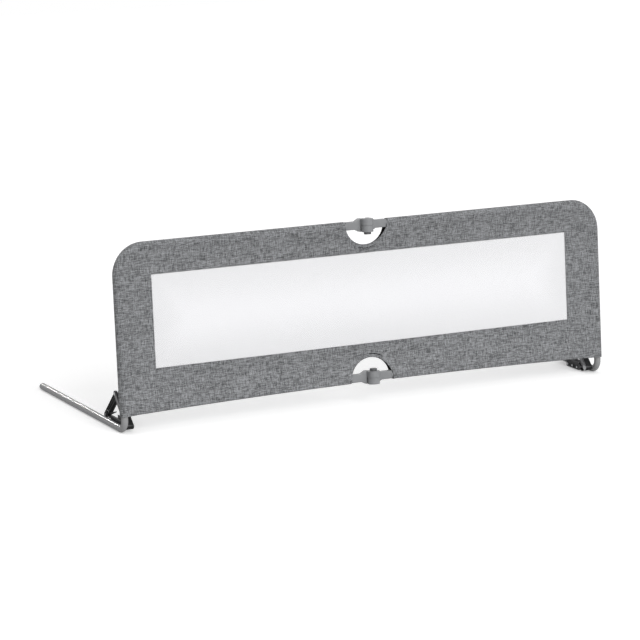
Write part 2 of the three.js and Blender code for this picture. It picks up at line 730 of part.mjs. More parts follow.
function addArm(side, hand) {
  const armX = hand * (halfLength - tubeInset);
  const stayX = hand * (halfLength - stayInset);
  const handed = (geometry) => (hand < 0 ? geometry : mirrored(geometry));
  const arm = new THREE.Group();
  arm.position.x = armX;
  const stay = new THREE.Group();
  stay.position.x = stayX;
  guardRail.add(arm, stay);
  place(arm, `${side}_arm_tube`, handed(armTube()), paintedSteel());
  place(arm, `${side}_arm_cap`, armCap(), pinPlastic());
  place(stay, `${side}_stay_rail`, stayRail(), darkPlastic());
  railScrewPlaces().forEach((screwPlace, index) => {
    place(stay, `${side}_rail_screw_${index + 1}`, handed(railScrew(screwPlace)), brightSteel());
  });
  place(stay, `${side}_stay_axle`, handed(stayAxle()), brightSteel());
  place(stay, `${side}_stay_spring`, staySpring(), brightSteel());
  place(stay, `${side}_front_link`, frontLink(), darkPlastic());
  place(stay, `${side}_rear_link`, handed(rearLink()), darkPlastic());
  place(stay, `${side}_apex_pin`, linkPin(frontLinkHalfWidth), brightSteel())
    .position.set(0, apexBack, apexHeight);
  place(stay, `${side}_stay_shoe`, stayShoe(), blackPlastic());
  place(stay, `${side}_shoe_pin`, linkPin(rearLinkHalfWidth), brightSteel())
    .position.set(0, shoePinBack, stayAxleHeight);
  place(stay, `${side}_floor_pad`, floorPad(), blackRubber());
}

addPanelHalf("left", -1);
addPanelHalf("right", 1);
addHinge("upper", topTubeHeight, false);
addHinge("lower", bottomTubeHeight, true);
addArm("left", -1);
addArm("right", 1);

// The origin lies on the floor, under the middle of the whole rail
guardRail.updateMatrixWorld(true);
const bounds = new THREE.Box3().setFromObject(guardRail, true);
guardRail.position.set(0, -(bounds.min.y + bounds.max.y) / 2, 0);

export default guardRail;
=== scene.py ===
import json
import math

import bmesh
import bpy
import numpy as np
from mathutils import Matrix, Vector, noise
from mathutils.geometry import delaunay_2d_cdt

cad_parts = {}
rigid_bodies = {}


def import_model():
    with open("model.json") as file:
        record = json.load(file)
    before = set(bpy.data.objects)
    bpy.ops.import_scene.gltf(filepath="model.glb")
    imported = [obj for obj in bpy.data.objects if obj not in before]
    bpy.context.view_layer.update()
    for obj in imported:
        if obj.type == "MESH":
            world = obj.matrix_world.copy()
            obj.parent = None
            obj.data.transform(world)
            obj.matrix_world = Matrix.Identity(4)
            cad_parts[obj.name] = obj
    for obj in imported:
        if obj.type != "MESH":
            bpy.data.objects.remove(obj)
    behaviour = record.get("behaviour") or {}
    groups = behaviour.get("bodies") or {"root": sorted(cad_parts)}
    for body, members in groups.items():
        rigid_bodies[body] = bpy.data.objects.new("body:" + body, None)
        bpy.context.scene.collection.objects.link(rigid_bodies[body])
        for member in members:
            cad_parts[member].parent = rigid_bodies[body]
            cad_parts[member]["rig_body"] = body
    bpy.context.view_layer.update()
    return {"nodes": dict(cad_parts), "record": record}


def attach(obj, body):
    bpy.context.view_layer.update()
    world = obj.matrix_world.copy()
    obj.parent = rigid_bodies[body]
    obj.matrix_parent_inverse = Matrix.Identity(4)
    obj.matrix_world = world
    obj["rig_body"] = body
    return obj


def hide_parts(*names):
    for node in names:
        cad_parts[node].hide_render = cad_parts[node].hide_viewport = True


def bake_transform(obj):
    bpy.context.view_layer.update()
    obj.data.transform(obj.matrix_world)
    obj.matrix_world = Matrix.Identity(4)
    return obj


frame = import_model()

# Folding bed guard rail, in metres. The panel's own plane has x along the rail and v up the panel.
# Its depth runs back from the front face, and it leans back about the line where that face meets the floor.
LEAN = math.radians(5.5)
HALF_LENGTH = 0.75
FACE_BACK = -0.281457
COVER_TOP = 0.5035
COVER_HALF = 0.0127
CORNER_AXIS_RADIUS = 0.0743
EDGE_MIDDLE = 0.0608
EDGE_BOW = 0.0125
WINDOW_MARGIN = 0.1096
WINDOW_BOTTOM = 0.1662
WINDOW_TOP = 0.4145
WINDOW_SIDE = HALF_LENGTH - WINDOW_MARGIN
MOON_RADIUS = 0.066
CLOTH_THICKNESS = 0.0009
BOTTOM_AXIS = 0.0735
AXIS_SIDE = HALF_LENGTH - COVER_HALF
AXIS_TOP = COVER_TOP - COVER_HALF
CORNER_SIDE = AXIS_SIDE - CORNER_AXIS_RADIUS
CORNER_LEVEL = AXIS_TOP - CORNER_AXIS_RADIUS

# The same cover as flat cloth, unrolled to the middle of the tubes' outer side
WRAP = COVER_HALF * math.pi / 2
FLAT_SIDE = AXIS_SIDE + WRAP
FLAT_TOP = AXIS_TOP + WRAP
FLAT_CORNER_RADIUS = CORNER_AXIS_RADIUS + WRAP

# Slope of the cover's layers, from the tubes to the panel's middle
LAYER_GAP = 0.0002
LAYER_DEPTH = COVER_HALF - CLOTH_THICKNESS - LAYER_GAP
LAYER_RUN = MOON_RADIUS - COVER_HALF
LAYER_START = COVER_HALF * math.tan(math.atan2(LAYER_DEPTH, LAYER_RUN) / 2)
LAYER_EASE = 0.005

# Edges, seams and hems
EDGE_TURN = 0.004
OPEN_EDGE_TURN = 0.0012
OPEN_END = (0.69, 0.722)
HEM_WIDTH = 0.0095
WINDOW_SEAM = 0.0028
NET_SEAM = 0.008
NET_FLAT = (2 * WINDOW_SIDE + 2 * NET_SEAM, WINDOW_TOP - WINDOW_BOTTOM + 2 * NET_SEAM)

# Camera, fitted to the photograph
CAMERA_PLACE = (-3.70755, -6.94348, 1.91309)
CAMERA_YAW = math.radians(27.986)
CAMERA_PITCH = math.radians(12.424)
CAMERA_ROLL = math.radians(0.022)
CAMERA_LENS = 161.685
CAMERA_SENSOR = 36.0
CAMERA_REACH = 60.0


def panel_point(x, depth, v):
    """Place of a point given by its place in the panel's own plane and its depth behind the front face."""
    back = depth * math.cos(LEAN) + v * math.sin(LEAN) + FACE_BACK
    return Vector((x, back, v * math.cos(LEAN) - depth * math.sin(LEAN)))


def smoothstep(low, high, value):
    share = min(max((value - low) / (high - low), 0.0), 1.0)
    return share * share * (3 - 2 * share)


def arc(centre, radius, start, sweep, steps):
    """Points at equal steps round part of a circle, with both its ends."""
    angles = [start + sweep * i / steps for i in range(steps + 1)]
    return [(centre[0] + radius * math.cos(a), centre[1] + radius * math.sin(a)) for a in angles]


def stretch(start, length, steps):
    """Places at equal steps along a length, with both its ends."""
    return [start + length * i / steps for i in range(steps + 1)]


def lowest_edge(x):
    """Height of the cover's bottom edge, which bows up to the middle of the rail."""
    share = x / HALF_LENGTH
    return EDGE_MIDDLE - EDGE_BOW * share * share


# Node trees

WHITE = (1, 1, 1, 1)


class Tree:
    """Short calls that add nodes to the tree of one material or world."""

    def __init__(self, owner, output="OutputMaterial"):
        self.owner = owner
        self.owner.use_nodes = True
        self.nodes = owner.node_tree.nodes
        self.links = owner.node_tree.links
        self.nodes.clear()
        self.output = self.add(output)

    def add(self, kind, inputs=None, **settings):
        node = self.nodes.new("ShaderNode" + kind)
        for name, value in settings.items():
            setattr(node, name, value)
        for name, value in (inputs or {}).items():
            self.feed(node.inputs[name], value)
        return node

    def feed(self, socket, value):
        if isinstance(value, bpy.types.NodeSocket):
            self.links.new(value, socket)
        else:
            socket.default_value = value

    def math(self, operation, first, second=0.0):
        node = self.add("Math", operation=operation)
        self.feed(node.inputs[0], first)
        self.feed(node.inputs[1], second)
        return node.outputs[0]

    def vector(self, x, y, z=0.0):
        return self.add("CombineXYZ", {"X": x, "Y": y, "Z": z}).outputs["Vector"]

    def object_place(self):
        return self.add("TexCoord").outputs["Object"]

    def stretched_place(self, scale):
        return self.add("Mapping", {"Vector": self.object_place(), "Scale": scale}).outputs["Vector"]

    def flat_place(self):
        """Both measures of a point's place in the flat cloth, in metres."""
        place = self.add("UVMap", uv_map="flat").outputs["UV"]
        flat = self.add("SeparateXYZ", {"Vector": place})
        return flat.outputs["X"], flat.outputs["Y"]

    def noise(self, vector, scale, detail=2.0, roughness=0.5):
        inputs = {"Vector": vector, "Scale": scale, "Detail": detail, "Roughness": roughness}
        return self.add("TexNoise", inputs).outputs["Fac"]

    def ranged(self, value, low, high, to_low, to_high, interpolation="LINEAR"):
        inputs = {"Value": value, "From Min": low, "From Max": high, "To Min": to_low, "To Max": to_high}
        return self.add("MapRange", inputs, interpolation_type=interpolation).outputs["Result"]

    def tint(self, share, dark, light):
        ramp = self.add("ValToRGB", {"Fac": share})
        ramp.color_ramp.elements[0].color = (*dark, 1)
        ramp.color_ramp.elements[1].color = (*light, 1)
        return ramp.outputs["Color"]

    def mixed_color(self, share, first, second):
        node = self.add("Mix", {"Factor": share}, data_type="RGBA")
        self.feed(node.inputs[6], first)
        self.feed(node.inputs[7], second)
        return node.outputs[2]

    def mixed_shader(self, share, first, second):
        node = self.add("MixShader", {"Fac": share})
        self.links.new(first, node.inputs[1])
        self.links.new(second, node.inputs[2])
        return node.outputs[0]

    def bump(self, height, distance, strength):
        inputs = {"Height": height, "Distance": distance, "Strength": strength}
        return self.add("Bump", inputs).outputs["Normal"]

    def surface(self, inputs):
        return self.add("BsdfPrincipled", inputs).outputs["BSDF"]

    def finish(self, shader):
        self.links.new(shader, self.output.inputs["Surface"])
        return self.owner


def material_tree(name):
    return Tree(bpy.data.materials.new(name))


def grey(value, blue=0.0):
    return (value, value + blue * 0.4, value + blue)


def scaled(color, factor):
    return tuple(c * factor for c in color)


# Materials

THREAD_PITCH = 0.0009
# Width and length of the streaks that the cloth's threads make
SLUB = (0.0019, 0.019)
BAND = (0.006, 0.16)
FINE = (0.0013, 0.009)
DARK_TONE, LIGHT_TONE = 1.115, 1.945

NET_PITCH = 0.0016
NET_ROW_SHARE = 0.75
# Reach of a net hole from its middle, as shares of the pitch, and how far threads still cover it
HOLE_RIM = (0.27, 0.38)
HOLE_COVER = 0.37
NET_SHADE_REACH = 0.124
NET_GLOW_SHARE = 0.3

# Paler colour of the plastics' sharp edges: partly rubbed wear, partly a painted edge highlight
WORN_AND_HIGHLIT_EDGE = (0.6, 0.6, 0.62, 1)


def thread_streaks(tree, across, along, streak, seed):
    """Noise drawn out along one thread direction."""
    width, length = streak
    vector = tree.vector(tree.math("DIVIDE", across, width), tree.math("DIVIDE", along, length), seed)
    return tree.noise(vector, 1.0, 1.5)


def woven_cloth(name, dark, light):
    """Grey melange cloth: plain weave, short slubs both ways, flecks and a soft sheen."""
    tree = material_tree(name)
    u, v = tree.flat_place()
    place = tree.vector(u, v)
    warp = tree.ranged(thread_streaks(tree, u, v, SLUB, 3.1), 0.36, 0.64, 0.0, 1.0)
    weft = tree.ranged(thread_streaks(tree, v, u, SLUB, 8.7), 0.36, 0.64, 0.0, 1.0)
    slub = tree.math("ADD", warp, weft)
    bands = tree.math("ADD", thread_streaks(tree, u, v, BAND, 31.4), thread_streaks(tree, v, u, BAND, 37.7))
    over = tree.math("MULTIPLY",
        tree.math("SINE", tree.math("MULTIPLY", u, math.pi / THREAD_PITCH)),
        tree.math("SINE", tree.math("MULTIPLY", v, math.pi / THREAD_PITCH)))
    fine = tree.add("Mix", {
        "Factor": tree.ranged(over, -0.4, 0.4, 0.0, 1.0),
        "A": thread_streaks(tree, u, v, FINE, 14.2),
        "B": thread_streaks(tree, v, u, FINE, 21.9),
    }, data_type="FLOAT").outputs["Result"]
    fleck = tree.noise(place, 380.0, 2.0, 0.6)
    cloud = tree.noise(place, 9.0, 3.0)
    tone = tree.math("MULTIPLY", slub, 0.46)
    for layer, weight in ((fleck, 1.25), (fine, 0.35), (bands, 0.2), (cloud, 0.1)):
        tone = tree.math("ADD", tone, tree.math("MULTIPLY", layer, weight))
    relief = tree.math("ADD", tree.math("MULTIPLY", tree.math("ABSOLUTE", over), 0.7),
        tree.math("MULTIPLY", slub, 0.3))
    return tree.finish(tree.surface({
        "Base Color": tree.tint(tree.ranged(tone, DARK_TONE, LIGHT_TONE, 0.0, 1.0), dark, light),
        "Roughness": tree.ranged(fine, 0.3, 0.7, 0.94, 0.82),
        "Specular IOR Level": 0.22,
        "Sheen Weight": 0.1,
        "Sheen Roughness": 0.5,
        "Normal": tree.bump(relief, 0.00035, 0.75),
    }))


def shaded_lining_cloth(name):
    """Near-black inner side of the cover's cloth: painted shade for the dark inside of the sleeve."""
    tree = material_tree(name)
    lining_grain = tree.noise(tree.object_place(), 700.0, 2.0)
    return tree.finish(tree.surface({
        "Base Color": tree.tint(lining_grain, (0.010, 0.010, 0.011), (0.022, 0.022, 0.023)),
        "Roughness": 0.8,
        "Specular IOR Level": 0.2,
        "Normal": tree.bump(lining_grain, 0.0001, 0.5),
    }))


def window_net(name):
    """Fine white net: rounded holes in staggered rows, threads that let light through, and painted shade that
    darkens it towards its seams.
    """
    tree = material_tree(name)
    u, v = tree.flat_place()
    row = tree.math("DIVIDE", v, NET_PITCH * NET_ROW_SHARE)
    shift = tree.math("MULTIPLY", tree.math("MODULO", tree.math("FLOOR", row), 2.0), 0.5)
    column = tree.math("ADD", tree.math("DIVIDE", u, NET_PITCH), shift)
    across = tree.math("SUBTRACT", tree.math("FRACT", column), 0.5)
    along = tree.math("SUBTRACT", tree.math("FRACT", row), 0.5)
    reach = tree.math("SQRT", tree.math("ADD", tree.math("MULTIPLY", across, across),
        tree.math("MULTIPLY", along, along)))
    thread = tree.ranged(reach, *HOLE_RIM, HOLE_COVER, 1.0)
    inset_u = tree.math("SUBTRACT", WINDOW_SIDE, tree.math("ABSOLUTE", u))
    inset_v = tree.math("SUBTRACT", (WINDOW_TOP - WINDOW_BOTTOM) / 2,
        tree.math("ABSOLUTE", tree.math("SUBTRACT", v, (WINDOW_TOP + WINDOW_BOTTOM) / 2)))
    inset = tree.math("MINIMUM", inset_u, inset_v)
    # Painted shade: the net's colour turns darker towards its seams
    painted_seam_shade = tree.ranged(inset, 0.0, NET_SHADE_REACH, 1.0, 0.0, "SMOOTHSTEP")
    cloud = tree.noise(tree.vector(u, v), 6.0, 1.0)
    middle = tree.tint(cloud, (0.796, 0.795, 0.815), (0.811, 0.810, 0.830))
    color = tree.mixed_color(painted_seam_shade, middle, (0.700, 0.701, 0.716, 1))
    body = tree.surface({
        "Base Color": color,
        "Roughness": 0.75,
        "Specular IOR Level": 0.2,
        "Sheen Weight": 0.1,
        "Sheen Roughness": 0.4,
        "Normal": tree.bump(thread, 0.0002, 0.3),
    })
    glow = tree.add("BsdfTranslucent", {"Color": color}).outputs[0]
    hole = tree.add("BsdfTransparent").outputs[0]
    return tree.finish(tree.mixed_shader(thread, hole, tree.mixed_shader(NET_GLOW_SHARE, body, glow)))


def sewing_thread(name, color):
    tree = material_tree(name)
    ply = tree.noise(tree.object_place(), 1800.0, 1.0)
    return tree.finish(tree.surface({
        "Base Color": tree.tint(ply, scaled(color, 0.75), scaled(color, 1.25)),
        "Roughness": 0.7,
        "Sheen Weight": 0.1,
        "Normal": tree.bump(ply, 0.0001, 0.6),
    }))


def moulded_plastic(name, color, roughness, edge_wear_and_highlight=0.12, shine=0.5):
    """Moulded plastic: fine spark-eroded grain, faint flow marks, and edges a little paler, partly rubbed
    wear and partly a painted edge highlight.
    """
    tree = material_tree(name)
    place = tree.object_place()
    flow = tree.noise(place, 38.0, 3.0, 0.6)
    pitted = tree.noise(place, 2600.0, 2.0, 0.6)
    corner = tree.add("NewGeometry").outputs["Pointiness"]
    # Painted edge highlight, with some rubbed wear: sharp edges turn paler
    rubbed_and_highlit = tree.math("MULTIPLY", tree.ranged(corner, 0.54, 0.64, 0.0, edge_wear_and_highlight),
        tree.ranged(flow, 0.35, 0.6, 0.4, 1.0))
    base = tree.tint(tree.ranged(flow, 0.3, 0.7, 0.0, 1.0), scaled(color, 0.93), scaled(color, 1.07))
    return tree.finish(tree.surface({
        "Base Color": tree.mixed_color(rubbed_and_highlit, base, WORN_AND_HIGHLIT_EDGE),
        "Roughness": tree.ranged(flow, 0.3, 0.7, roughness - 0.05, roughness + 0.06),
        "IOR": 1.49,
        "Specular IOR Level": shine,
        "Normal": tree.bump(pitted, 0.00005, 0.5),
    }))


def painted_steel(name, color, roughness):
    """Silver-grey baked paint over steel: flake, slight orange peel and faint long handling marks."""
    tree = material_tree(name)
    place = tree.object_place()
    flake = tree.noise(place, 2200.0, 2.0, 0.7)
    peel = tree.noise(place, 420.0, 2.0)
    marks = tree.noise(tree.stretched_place((60.0, 9.0, 60.0)), 1.0, 4.0, 0.6)
    return tree.finish(tree.surface({
        "Base Color": tree.tint(tree.ranged(flake, 0.3, 0.7, 0.0, 1.0),
            scaled(color, 0.9), scaled(color, 1.1)),
        "Roughness": tree.ranged(marks, 0.3, 0.7, roughness - 0.06, roughness + 0.08),
        "Specular IOR Level": 0.0,
        "Coat Weight": 0.45,
        "Coat IOR": 1.4,
        "Coat Roughness": 0.1,
        "Normal": tree.bump(peel, 0.00004, 0.5),
    }))


def plated_steel(name, color, roughness):
    """Zinc-plated steel with fine turning marks."""
    tree = material_tree(name)
    turned = tree.noise(tree.stretched_place((900.0, 120.0, 900.0)), 1.0, 2.0)
    shade = tree.noise(tree.object_place(), 160.0, 3.0)
    return tree.finish(tree.surface({
        "Base Color": tree.tint(shade, scaled(color, 0.85), scaled(color, 1.1)),
        "Metallic": 1.0,
        "Roughness": tree.ranged(turned, 0.3, 0.7, roughness - 0.08, roughness + 0.1),
        "Normal": tree.bump(turned, 0.00003, 0.4),
    }))


def rubber(name):
    """Black rubber, a little dusty."""
    tree = material_tree(name)
    dust = tree.noise(tree.object_place(), 240.0, 4.0, 0.65)
    return tree.finish(tree.surface({
        "Base Color": tree.tint(dust, (0.012, 0.012, 0.013), (0.03, 0.03, 0.031)),
        "Roughness": 0.85,
        "Specular IOR Level": 0.3,
        "Normal": tree.bump(dust, 0.0001, 0.5),
    }))


FINISHES = {
    "cover_fabric": woven_cloth("melange_cloth", grey(0.073, 0.004), grey(0.342, 0.019)),
    "window_net": window_net("white_net"),
    "painted_tube": painted_steel("silver_paint", grey(0.30, 0.006), 0.45),
    "hinge_plastic": moulded_plastic("grey_plastic", grey(0.212, 0.011), 0.42),
    "pin_plastic": moulded_plastic("mid_grey_plastic", grey(0.075, 0.005), 0.45),
    "stay_plastic": moulded_plastic("dark_grey_plastic", grey(0.012, 0.001), 0.42, edge_wear_and_highlight=0.5, shine=0.12),
    "black_plastic": moulded_plastic("black_plastic", grey(0.014, 0.001), 0.42, edge_wear_and_highlight=0.2, shine=0.25),
    "bright_steel": plated_steel("zinc_plate", grey(0.36, 0.01), 0.4),
    "rubber": rubber("black_rubber"),
}
# Near-black lining for the cover's inner faces, painted shade for the sleeve's inside
SHADED_LINING = shaded_lining_cloth("painted_shade_lining")
HEM_THREAD = sewing_thread("hem_thread", grey(0.08, 0.003))
SLOTS = {row["node"]: row["material_slot"] for row in frame["record"]["subparts"]}


# Mesh helpers

def mesh_object(name, vertices, faces, material, smooth=True):
    mesh = bpy.data.meshes.new(name)
    mesh.from_pydata([tuple(p) for p in vertices], [], faces)
    mesh.polygons.foreach_set("use_smooth", [smooth] * len(mesh.polygons))
    mesh.materials.append(material)
    piece = bpy.data.objects.new(name, mesh)
    bpy.context.scene.collection.objects.link(piece)
    return piece


def add_flat_map(piece, flat_places):
    """Keeps each point's place in the flat cloth, in metres, as the map that the weave follows."""
    layer = piece.data.uv_layers.new(name="flat")
    places = [c for loop in piece.data.loops for c in flat_places[loop.vertex_index]]
    layer.data.foreach_set("uv", places)


def across_the_fold(piece):
    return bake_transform(piece)


# Form of the cloth cover

def axis_offset(x, v):
    """How far a flat point lies outside the tubes' axis line, and the way out from there."""
    over_x = abs(x) - CORNER_SIDE
    over_v = v - CORNER_LEVEL
    side = math.copysign(1.0, x)
    if over_x > 0 and over_v > 0:
        reach = math.hypot(over_x, over_v)
        return reach - CORNER_AXIS_RADIUS, (side * over_x / reach, over_v / reach)
    if over_x - CORNER_AXIS_RADIUS > over_v - CORNER_AXIS_RADIUS:
        return abs(x) - AXIS_SIDE, (side, 0.0)
    return v - AXIS_TOP, (0.0, 1.0)


def open_end(x):
    """Share by which the sleeve is open underneath, at its ends where the arms go in."""
    return smoothstep(*OPEN_END, abs(x))


def edge_turn(x):
    """Radius at which the cloth turns under at its bottom edge."""
    return OPEN_EDGE_TURN + (EDGE_TURN - OPEN_EDGE_TURN) * (1 - open_end(x))


def flat_bottom(x):
    """Where the flat cloth ends: at the sleeve's lower middle, or just round its edge at the open ends."""
    clipped = max(-HALF_LENGTH, min(HALF_LENGTH, x))
    radius = edge_turn(clipped)
    under = (COVER_HALF - radius) * (1 - open_end(clipped))
    return lowest_edge(clipped) + radius - radius * math.pi / 2 - under


def moon_reach(x, v, level):
    """Distance from the rim of the half-moon whose centre is at a given height."""
    return math.hypot(x, v - level) - MOON_RADIUS


def layer_depth(inset):
    """Depth of the taut front layer, which slopes from the tubes to the panel's middle, by its way in."""
    slope = LAYER_DEPTH / (LAYER_RUN - LAYER_START)
    if inset <= 0:
        return 0.0
    if inset < 2 * LAYER_START:
        return slope * inset ** 2 / (4 * LAYER_START)
    if inset < LAYER_RUN - LAYER_EASE:
        return slope * (inset - LAYER_START)
    if inset < LAYER_RUN + LAYER_EASE:
        return LAYER_DEPTH - slope * (LAYER_RUN + LAYER_EASE - inset) ** 2 / (4 * LAYER_EASE)
    return LAYER_DEPTH


HEM_RIDGE, HEM_STEP = 0.0005, 0.001
HEM_GROOVE, HEM_GROOVE_WIDTH = 0.0009, 0.0013
# Gathered fold beside each end of the upper half-moon, shallower where a tube lies under it
GATHER_REACH, GATHER_WIDTH = 0.0142, 0.0015
GATHER_GROOVE, GATHER_SHALLOWING = 0.0018, 0.0011
GATHER_FADE = (COVER_TOP - 0.066, COVER_TOP - 0.04)
TUBE_FADE = (COVER_TOP - 0.030, COVER_TOP - 0.024)
SEAM_RIDGE, SEAM_RIDGE_FADE = 0.0004, (0.0022, 0.0034)
SEAM_GROOVE, SEAM_GROOVE_WIDTH = 0.0003, 0.0007
PULL_HEIGHT, DRAG_HEIGHT = 0.0010, 0.0007
PULL_REACH, PULL_BASE = 0.03, 0.35
# Waves of each kind per metre, along x and along v
PULL_SCALE = (28, 28)
DRAG_SCALE = (9, 34)
PUCKER_SCALE = (30, 30)
FRONT_SEED, BACK_SEED, DRAG_SEED_STEP, PUCKER_SEED = 1.0, 7.0, 4, 2.0
PUCKER_HEIGHT, PUCKER_LENGTH, PUCKER_WIDTH = 0.0004, 0.011, 0.012
CALM_WIDTH = 0.03
TURNED_LIFT = -0.0003


def groove(distance, width):
    """One in the middle of a groove, and falling to zero on both sides."""
    return math.exp(-(distance / width) ** 2)


def waves(x, v, scale, seed):
    """Smooth noise over the flat cloth, about -1 to 1."""
    return noise.noise(Vector((x * scale[0], v * scale[1], seed)))


def cloth_relief(x, v, seed):
    """Small forms of the stretched cloth: ridges, grooves, gathers, puckers and pulls by hems and seams."""
    upper = moon_reach(x, v, COVER_TOP)
    moon = min(upper, moon_reach(x, v, EDGE_MIDDLE))
    hem = HEM_RIDGE * (1 - smoothstep(HEM_WIDTH - HEM_STEP, HEM_WIDTH + HEM_STEP, moon))
    grooves = -HEM_GROOVE * groove(moon - HEM_WIDTH, HEM_GROOVE_WIDTH)
    gather = groove(upper - GATHER_REACH, GATHER_WIDTH) * smoothstep(*GATHER_FADE, v)
    grooves -= (GATHER_GROOVE - GATHER_SHALLOWING * smoothstep(*TUBE_FADE, v)) * gather
    window = max(abs(x) - WINDOW_SIDE, WINDOW_BOTTOM - v, v - WINDOW_TOP)
    edge = SEAM_RIDGE * (1 - smoothstep(*SEAM_RIDGE_FADE, window))
    grooves -= SEAM_GROOVE * groove(window - WINDOW_SEAM, SEAM_GROOVE_WIDTH)
    pull = waves(x, v, PULL_SCALE, seed)
    drag = waves(x, v, DRAG_SCALE, seed + DRAG_SEED_STEP)
    near_moon = math.exp(-max(moon, 0) / PULL_REACH)
    ripple = PULL_HEIGHT * pull * (PULL_BASE + near_moon) + DRAG_HEIGHT * drag
    offset, _ = axis_offset(x, v)
    wave = math.sin((x + v) * 2 * math.pi / PUCKER_LENGTH)
    seam = smoothstep(WRAP - PUCKER_WIDTH, WRAP, offset)
    pucker = PUCKER_HEIGHT * wave * seam * waves(x, v, PUCKER_SCALE, PUCKER_SEED)
    return hem + grooves + edge - abs(ripple) * (1 - smoothstep(-CALM_WIDTH, 0.0, offset)) + pucker


def cloth_place(x, v, front):
    """Place on the cover of a point of the flat cloth: its x, its depth from the layer's face, its height."""
    offset, way = axis_offset(x, v)
    out = 0.0
    depth = layer_depth(min(-offset, v - BOTTOM_AXIS))
    if offset > 0:
        turn = min(offset / COVER_HALF, math.pi / 2)
        out = COVER_HALF * math.sin(turn) - offset
        depth = COVER_HALF * (1 - math.cos(turn))
    px, pv = x + way[0] * out, v + way[1] * out
    radius = edge_turn(px)
    under = lowest_edge(px) + radius - v
    if under > 0:
        turn = min(under / radius, math.pi / 2)
        pv = lowest_edge(px) + radius - radius * math.sin(turn)
        depth = max(depth, radius * (1 - math.cos(turn)) + max(under - radius * math.pi / 2, 0.0))
    lift = cloth_relief(x, v, FRONT_SEED if front else BACK_SEED)
    if offset > 0 or under > 0:
        lift = max(min(lift, 0.0), TURNED_LIFT)
    return px, min(max(depth - lift, 0.0), COVER_HALF), pv


# Flat cloth

EDGE_STEPS = 60
SIDE_STEPS = 30
CORNER_STEPS = 24
MOON_STEPS = 56
GRID_STEP = 0.007
ROW_STEP = 0.0065
SIDE_ROW_START, SIDE_ROW_COUNT = 0.06, 55
CORNER_ROW_STEPS = 22
MOON_ROW_STEP = 0.0028
WINDOW_STEP = 0.006
WINDOW_ROW_STEP = 0.005
# Distances of the closer rows of points from the window, the half-moons and the outer edges
WINDOW_ROWS = (0.0012, 0.0024, 0.0034, 0.005)
MOON_ROWS = (0.0015, 0.003, 0.0055, 0.0078, 0.009, 0.0102, 0.0115, 0.0128, 0.0142, 0.0156, 0.017)
EDGE_ROWS = (0.0022, 0.0044, 0.0066, 0.0088, 0.0102, 0.0116, 0.013, 0.0144, 0.016, 0.018, 0.0205)
# Least spacings of the points from each other, from the outlines and from the window
POINT_CELL = 0.0016
OUTLINE_CLEARANCE = 0.0011
WINDOW_CLEARANCE = 0.0006
SAME_FLAT_PLACE = 1e-7


def flat_outline():
    """Outline of one flat cover layer, from the bottom left round by the right, with its moons cut in."""
    lower_turn = math.asin((flat_bottom(MOON_RADIUS) - EDGE_MIDDLE) / MOON_RADIUS)
    lower_start = MOON_RADIUS * math.cos(lower_turn)
    upper_turn = math.asin((FLAT_TOP - COVER_TOP) / MOON_RADIUS)
    upper_start = MOON_RADIUS * math.cos(upper_turn)
    corner = (CORNER_SIDE, CORNER_LEVEL)
    other_corner = (-CORNER_SIDE, CORNER_LEVEL)
    side_bottom = flat_bottom(FLAT_SIDE)
    side_height = CORNER_LEVEL - side_bottom

    points = [(x, flat_bottom(x)) for x in stretch(-FLAT_SIDE, FLAT_SIDE - lower_start, EDGE_STEPS)]
    lower_sweep = math.pi - 2 * lower_turn
    points += arc((0.0, EDGE_MIDDLE), MOON_RADIUS, math.pi - lower_turn, -lower_sweep, MOON_STEPS)[1:-1]
    points += [(x, flat_bottom(x)) for x in stretch(lower_start, FLAT_SIDE - lower_start, EDGE_STEPS)]
    points += [(FLAT_SIDE, v) for v in stretch(side_bottom, side_height, SIDE_STEPS)[1:-1]]
    points += arc(corner, FLAT_CORNER_RADIUS, 0.0, math.pi / 2, CORNER_STEPS)
    points += [(x, FLAT_TOP) for x in stretch(CORNER_SIDE, upper_start - CORNER_SIDE, EDGE_STEPS)[1:]]
    upper_sweep = math.pi + 2 * upper_turn
    points += arc((0.0, COVER_TOP), MOON_RADIUS, upper_turn, -upper_sweep, MOON_STEPS)[1:-1]
    points += [(x, FLAT_TOP) for x in stretch(-upper_start, upper_start - CORNER_SIDE, EDGE_STEPS)]
    points += arc(other_corner, FLAT_CORNER_RADIUS, math.pi / 2, math.pi / 2, CORNER_STEPS)[1:]
    points += [(-FLAT_SIDE, v) for v in stretch(CORNER_LEVEL, -side_height, SIDE_STEPS)[1:-1]]
    return points


def window_outline(margin=0.0, step=WINDOW_STEP):
    left, right = -WINDOW_SIDE - margin, WINDOW_SIDE + margin
    low, high = WINDOW_BOTTOM - margin, WINDOW_TOP + margin
    corners = [(left, low), (right, low), (right, high), (left, high)]
    points = []
    for i in range(4):
        a, b = corners[i], corners[(i + 1) % 4]
        count = max(1, round(math.dist(a, b) / step))
        points += [(a[0] + (b[0] - a[0]) * k / count, a[1] + (b[1] - a[1]) * k / count) for k in range(count)]
    return points


def in_window(x, v, margin=0.0):
    return abs(x) < WINDOW_SIDE + margin and WINDOW_BOTTOM - margin < v < WINDOW_TOP + margin


def inside(point, polygon):
    x, y = point
    found = False
    j = len(polygon) - 1
    for i in range(len(polygon)):
        (xi, yi), (xj, yj) = polygon[i], polygon[j]
        if (yi > y) != (yj > y) and x < (xj - xi) * (y - yi) / (yj - yi) + xi:
            found = not found
        j = i
    return found


